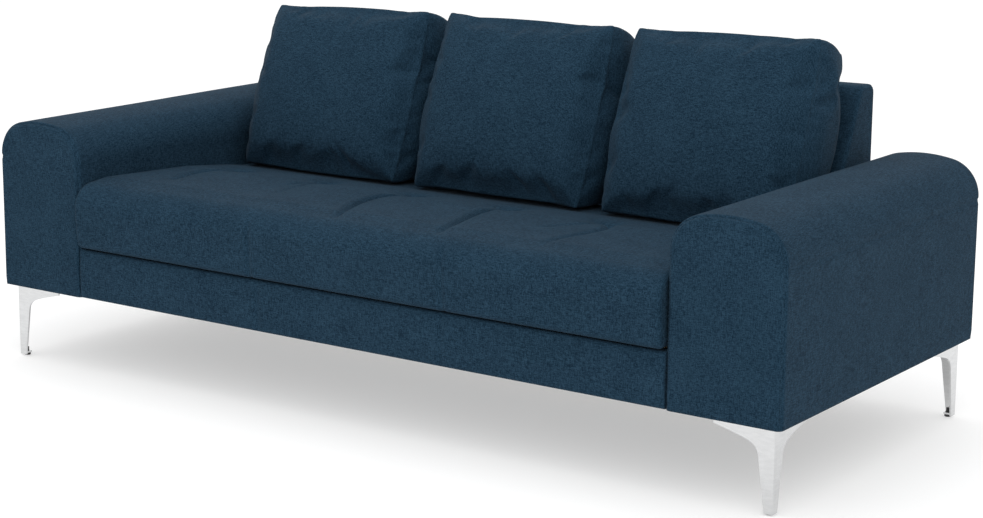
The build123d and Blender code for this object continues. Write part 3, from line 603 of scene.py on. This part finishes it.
def panel_surface(u, v, rear, cushion, half, mood, scale):
    """A cushion panel: a straight line from its lower to its upper seam, bowed by a sine over the height and
    crowned by one minus u to a power; its edges swell halfway along and its corners are drawn in."""
    s = (v + 1) / 2
    start, end = (CUSHION_LINE[2], CUSHION_LINE[3]) if rear else (CUSHION_LINE[0], CUSHION_LINE[1])
    bow = np.sin(math.pi * s)
    round_over = (1 - np.abs(u) ** 2.8) * (1 - np.abs(v) ** 2.8)
    if rear:
        out = 0.030 * bow + cushion.rear_crown * scale * 0.5 * round_over
    else:
        out = -(0.012 * bow + cushion.crown * scale * round_over)
    swell = cushion.swell
    draw_x, draw_z = 1 - cushion.corner_draw * v**8, cushion.corner_draw * np.abs(u) ** 8
    y = start[0] + (end[0] - start[0]) * s + out
    z = start[1] + (end[1] - start[1] + mood[4]) * s
    z = z - draw_z * v * 0.22 + swell * (1 - u**2) * v**5 * (1.3 - mood[0])
    z = z + mood[1] * 0.008 * u * np.clip(v, 0, 1) ** 3
    y = y + mood[2] * 0.006 * np.sin(2.1 * u + mood[3]) * (1 - v**2)
    x = u * (half * draw_x - 0.012 + swell * (1 - v**2) * np.abs(u) ** 3)
    return np.stack([x, y, z], -1)


def fill_with_cloth(piece, frames=20):
    """Swell the piece by cloth pressure for a few frames and return its new points."""
    mod = piece.modifiers.new("filling", "CLOTH")
    s = mod.settings
    s.quality = 5
    s.mass = 0.35
    s.tension_stiffness = s.compression_stiffness = 18
    s.shear_stiffness = 6
    s.bending_stiffness = 1.2
    s.use_pressure = True
    s.uniform_pressure_force = 4.0
    s.effector_weights.gravity = 0
    mod.collision_settings.use_collision = False
    scene = bpy.context.scene
    mod.point_cache.frame_start, mod.point_cache.frame_end = 1, frames
    for number in range(1, frames + 1):
        scene.frame_set(number)
    evaluated = piece.evaluated_get(bpy.context.evaluated_depsgraph_get())
    new = np.empty(len(piece.data.vertices) * 3, np.float32)
    evaluated.data.vertices.foreach_get("co", new)
    piece.modifiers.remove(mod)
    scene.frame_set(1)
    return new.reshape(-1, 3).astype(float)


class SOFA_OT_cushions(bpy.types.Operator):
    """The three loose back cushions: two crowned panels joined by a boxing strip, filled by pressure"""

    bl_idname = "sofa.cushions"
    bl_label = "Back cushions"

    moods = {
        "left": (0.0, 0.9, 0.6, 0.4, -0.026),
        "centre": (0.4, 0.2, -0.5, 1.9, -0.016),
        "right": (0.15, 0.6, 0.5, 3.1, -0.010),
    }

    def execute(self, context):
        cushion = context.scene.sofa_cushion
        columns, rows, between = 62, 54, 13
        faces, rim, strip = box_faces(columns, rows, between)
        edge = np.sign(np.linspace(-1, 1, columns)) * np.abs(np.linspace(-1, 1, columns)) ** 0.93
        side = np.sign(np.linspace(-1, 1, rows)) * np.abs(np.linspace(-1, 1, rows)) ** 0.93
        u, v = np.meshgrid(edge, side, indexing="ij")
        steps = np.array([0.028, 0.07, 0.15, 0.24, 0.34, 0.44, 0.5, 0.56, 0.66, 0.76, 0.85, 0.93, 0.972])
        for name in CUSHIONS:
            low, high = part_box(f"back_cushion_{name}")
            half, middle = (high.x - low.x) / 2, (high.x + low.x) / 2
            mood = self.moods[name]
            scale = 0.72
            front = panel_surface(u, v, False, cushion, half, mood, scale).reshape(-1, 3)
            rear = panel_surface(u, v, True, cushion, half, mood, scale).reshape(-1, 3)
            mid = (1 - steps)[:, None, None] * front[rim][None] + steps[:, None, None] * rear[rim][None]
            swell = 0.006 * np.sin(math.pi * steps)[:, None]
            mid[..., 0] += np.sign(u.reshape(-1)[rim]) * swell * (np.abs(u.reshape(-1)[rim]) > 0.99)
            mid[..., 2] += swell * (v.reshape(-1)[rim] > 0.99)
            points = np.concatenate([front, mid.reshape(-1, 3), rear])
            points[:, 0] += middle
            piece = put_mesh(f"loose_cushion_{name}", points, faces)
            new = fill_with_cloth(piece)
            move = new - points
            size = np.linalg.norm(move, axis=1, keepdims=True)
            points = points + move * np.minimum(1, cushion.travel / np.maximum(size, 1e-9))
            points = self.sew(points, strip, len(front), u, v, mood)
            points = self.rest(points, middle, low, high)
            piece.data.vertices.foreach_set("co", points.astype(np.float32).ravel())
            piece.data.update()
            smooth = piece.modifiers.new("smooth", "SUBSURF")
            smooth.levels = smooth.render_levels = 1
            dress(piece, f"cushion_{name}", upholstery_cloth(), "blue_fabric", f"back_cushion_{name}")
        return {"FINISHED"}

    def sew(self, points, strip, count, u, v, mood):
        """Stand the two seams out as fine ridges and lay short folds that fan from the panel corners."""
        points = points.copy()
        centre = points.mean(0)
        for ring in (strip[0], strip[-1]):
            seam = points[ring]
            out = (seam - centre) * (1.0, 0.35, 1.0)
            out /= np.linalg.norm(out, axis=1, keepdims=True)
            points[ring] = seam + 0.0028 * out
        flat_u, flat_v = u.reshape(-1), v.reshape(-1)
        fold = np.zeros(count)
        for corner_u, corner_v, size in ((1, -1, 0.5), (-1, -1, 0.3), (1, 1, 0.3), (-1, 1, 0.3)):
            du, dv = (flat_u - corner_u) * corner_u, (flat_v - corner_v) * corner_v
            reach = np.hypot(du, dv)
            angle = np.arctan2(-dv, -du)
            pleat = np.sin(angle * (9 + 2 * mood[1]) + mood[3])
            fold += size * 0.0030 * pleat * np.exp(-((reach - 0.22) / 0.20) ** 2) * np.clip(reach / 0.1, 0, 1)
        away = np.clip((1 - np.maximum(np.abs(flat_u), np.abs(flat_v))) / 0.06, 0, 1)
        points[:count, 1] += fold * away
        return points

    def rest(self, points, middle, low, high):
        """Flatten the cushion where it stands on the seat, leans on the back and meets its neighbours."""
        points = points.copy()
        (y0, z0), (y1, z1) = BACK_FACE
        face = y0 + (points[:, 2] - z0) * (y1 - y0) / (z1 - z0) - 0.003
        points[:, 1] = np.where(points[:, 2] < z1, np.minimum(points[:, 1], face), points[:, 1])
        seat = CREASE_Z + (CREASE_Y - points[:, 1]) * SEAT_FALL + 0.0015
        points[:, 2] = np.maximum(points[:, 2], seat)
        limit = (high.x - low.x) / 2 + 0.0011
        points[:, 0] = middle + np.clip(points[:, 0] - middle, -limit, limit)
        return points


class SOFA_OT_frame_finishes(bpy.types.Operator):
    """Finishes of the hidden timber, foam, boards, springs and linings"""

    bl_idname = "sofa.frame_finishes"
    bl_label = "Frame finishes"

    def execute(self, context):
        ply = timber("birch_plywood", (0.50, 0.34, 0.19), (0.74, 0.56, 0.36), 2)
        pine = timber("sawn_pine", (0.55, 0.36, 0.17), (0.80, 0.61, 0.36), 0)
        foam = grainy("cream_foam", (0.74, 0.66, 0.42), (0.88, 0.82, 0.60), 0.0018, 0.95, depth=0.0008)
        board = grainy("fibreboard", (0.24, 0.15, 0.08), (0.38, 0.26, 0.15), 0.0012, 0.8)
        lining = grainy("lining_cloth", (0.010, 0.010, 0.012), (0.030, 0.030, 0.033), 0.0010, 0.9)
        paint(foam, "arm_foam")
        paint(ply, "arm_front_panel", "arm_rear_panel", "arm_base_panel", "back_ribs")
        paint(board, "arm_skin", "back_rear_board")
        paint(pine, "arm_rails", "front_rail", "middle_rail", "side_boards", "base_bearers", "seat_frame",
              "back_top_rails", "back_low_rails", "back_skirt_board")
        paint(lining, "dust_cover", "spring_deck", "back_webbing")
        return {"FINISHED"}


class SOFA_OT_metal_finishes(bpy.types.Operator):
    """Finishes of the legs, glides, hinges, springs and screws"""

    bl_idname = "sofa.metal_finishes"
    bl_label = "Metal finishes"

    def execute(self, context):
        zinc = grainy("zinc_plate", (0.42, 0.43, 0.45), (0.62, 0.63, 0.64), 0.004, 0.34, 1.0, 0.00005)
        iron = grainy("hinge_steel", (0.20, 0.20, 0.21), (0.36, 0.36, 0.37), 0.003, 0.42, 1.0, 0.00008)
        plastic = grainy("black_plastic", (0.006, 0.006, 0.007), (0.016, 0.016, 0.017), 0.0006, 0.45)
        paint(polished_steel(), "leg_front", "leg_rear")
        paint(plastic, "glide")
        paint(iron, "hinge_base_plate", "hinge_back_plate", "hinge_seat_plate", "hinge_pawl", "hinge_pin")
        paint(zinc, "leg_screws", "hinge_base_screws", "hinge_back_screws", "hinge_seat_screws",
              "seat_springs")
        return {"FINISHED"}


def soft_light(name, place, target, size, power):
    """A square softbox that faces its target."""
    lamp = bpy.data.lights.new(name, "AREA")
    lamp.energy, lamp.size = power, size
    made = bpy.data.objects.new(name, lamp)
    made.location = place
    made.rotation_euler = (Vector(target) - Vector(place)).to_track_quat("-Z", "Y").to_euler()
    bpy.context.scene.collection.objects.link(made)


class SOFA_OT_stage(bpy.types.Operator):
    """A plain pale floor, soft studio light and the camera"""

    bl_idname = "sofa.stage"
    bl_label = "Stage"

    def execute(self, context):
        stage = context.scene.sofa_stage
        edge = np.linspace(-stage.floor_size / 2, stage.floor_size / 2, 25)
        x, y = np.meshgrid(edge, edge, indexing="ij")
        index = np.arange(x.size).reshape(x.shape)
        quads = np.stack([index[:-1, :-1], index[1:, :-1], index[1:, 1:], index[:-1, 1:]], -1).reshape(-1, 4)
        floor = put_mesh("studio_floor", np.stack([x, y, x * 0 - 0.0005], -1), quads)
        f = Finish("studio_floor", 0.85)
        pale = tuple(stage.floor_colour)
        f.ramp(f.stretched((3.0, 3.0, 3.0)), 0.3, 0.7, tuple(c * 0.99 for c in pale), pale)
        f.shader.inputs["Emission Color"].default_value = (1, 1, 1, 1)
        f.shader.inputs["Emission Strength"].default_value = stage.floor_glow
        floor.data.materials.append(f.material)

        world = bpy.data.worlds.new("studio")
        context.scene.world = world
        world.use_nodes = True
        world.node_tree.nodes["Background"].inputs["Color"].default_value = (1, 1, 1, 1)
        world.node_tree.nodes["Background"].inputs["Strength"].default_value = stage.fill_light
        soft_light("softbox", (3.2, -4.2, 3.4), (0, 0, 0.4), 3.4, stage.key_light)
        soft_light("ceiling_panel", (-0.3, -0.6, 4.2), (0, 0, 0.4), 4.0, stage.top_light)

        context.scene.view_settings.view_transform = "Standard"
        camera = bpy.data.cameras.new("camera")
        camera.lens = stage.lens
        camera.sensor_width = 36.0
        camera.shift_x, camera.shift_y = -0.0032, -0.0227
        made = bpy.data.objects.new("camera", camera)
        context.scene.collection.objects.link(made)
        yaw, pitch, roll = (math.radians(a) for a in (34.714, 11.832, 0.491))
        look = Vector((-math.sin(yaw) * math.cos(pitch), math.cos(yaw) * math.cos(pitch), -math.sin(pitch)))
        right = look.cross(Vector((0, 0, 1))).normalized()
        up = right.cross(look)
        across = math.cos(roll) * right + math.sin(roll) * up
        above = -math.sin(roll) * right + math.cos(roll) * up
        turn = Matrix((across, above, -look)).transposed().to_4x4()
        made.matrix_world = Matrix.Translation((3.0282, -4.2534, 1.4532)) @ turn
        context.scene.camera = made
        return {"FINISHED"}


class SOFA_PT_panel(bpy.types.Panel):
    """Lists the sofa's pieces in the sidebar"""

    bl_label = "Sofa bed"
    bl_idname = "SOFA_PT_panel"
    bl_space_type = "VIEW_3D"
    bl_region_type = "UI"
    bl_category = "Sofa"

    def draw(self, context):
        for group in ("sofa_fabric", "sofa_seat", "sofa_cushion", "sofa_stage"):
            settings = getattr(context.scene, group)
            for key in type(settings).__annotations__:
                self.layout.prop(settings, key)
        for operator in OPERATORS:
            self.layout.operator(operator.bl_idname)


OPERATORS = (
    SOFA_OT_arms,
    SOFA_OT_front_rail,
    SOFA_OT_seat,
    SOFA_OT_back,
    SOFA_OT_cushions,
    SOFA_OT_frame_finishes,
    SOFA_OT_metal_finishes,
    SOFA_OT_stage,
)
SETTINGS = {
    "sofa_fabric": SofaFabricSettings,
    "sofa_seat": SofaSeatSettings,
    "sofa_cushion": SofaCushionSettings,
    "sofa_stage": SofaStageSettings,
}


def register():
    for name, settings in SETTINGS.items():
        bpy.utils.register_class(settings)
        setattr(bpy.types.Scene, name, bpy.props.PointerProperty(type=settings))
    for cls in (*OPERATORS, SOFA_PT_panel):
        bpy.utils.register_class(cls)


def unregister():
    for cls in reversed((*OPERATORS, SOFA_PT_panel)):
        bpy.utils.unregister_class(cls)
    for name, settings in SETTINGS.items():
        delattr(bpy.types.Scene, name)
        bpy.utils.unregister_class(settings)


def main():
    register()
    bpy.ops.sofa.arms()
    bpy.ops.sofa.front_rail()
    bpy.ops.sofa.seat()
    bpy.ops.sofa.back()
    bpy.ops.sofa.cushions()
    bpy.ops.sofa.frame_finishes()
    bpy.ops.sofa.metal_finishes()
    bpy.ops.sofa.stage()


if __name__ == "__main__":
    main()
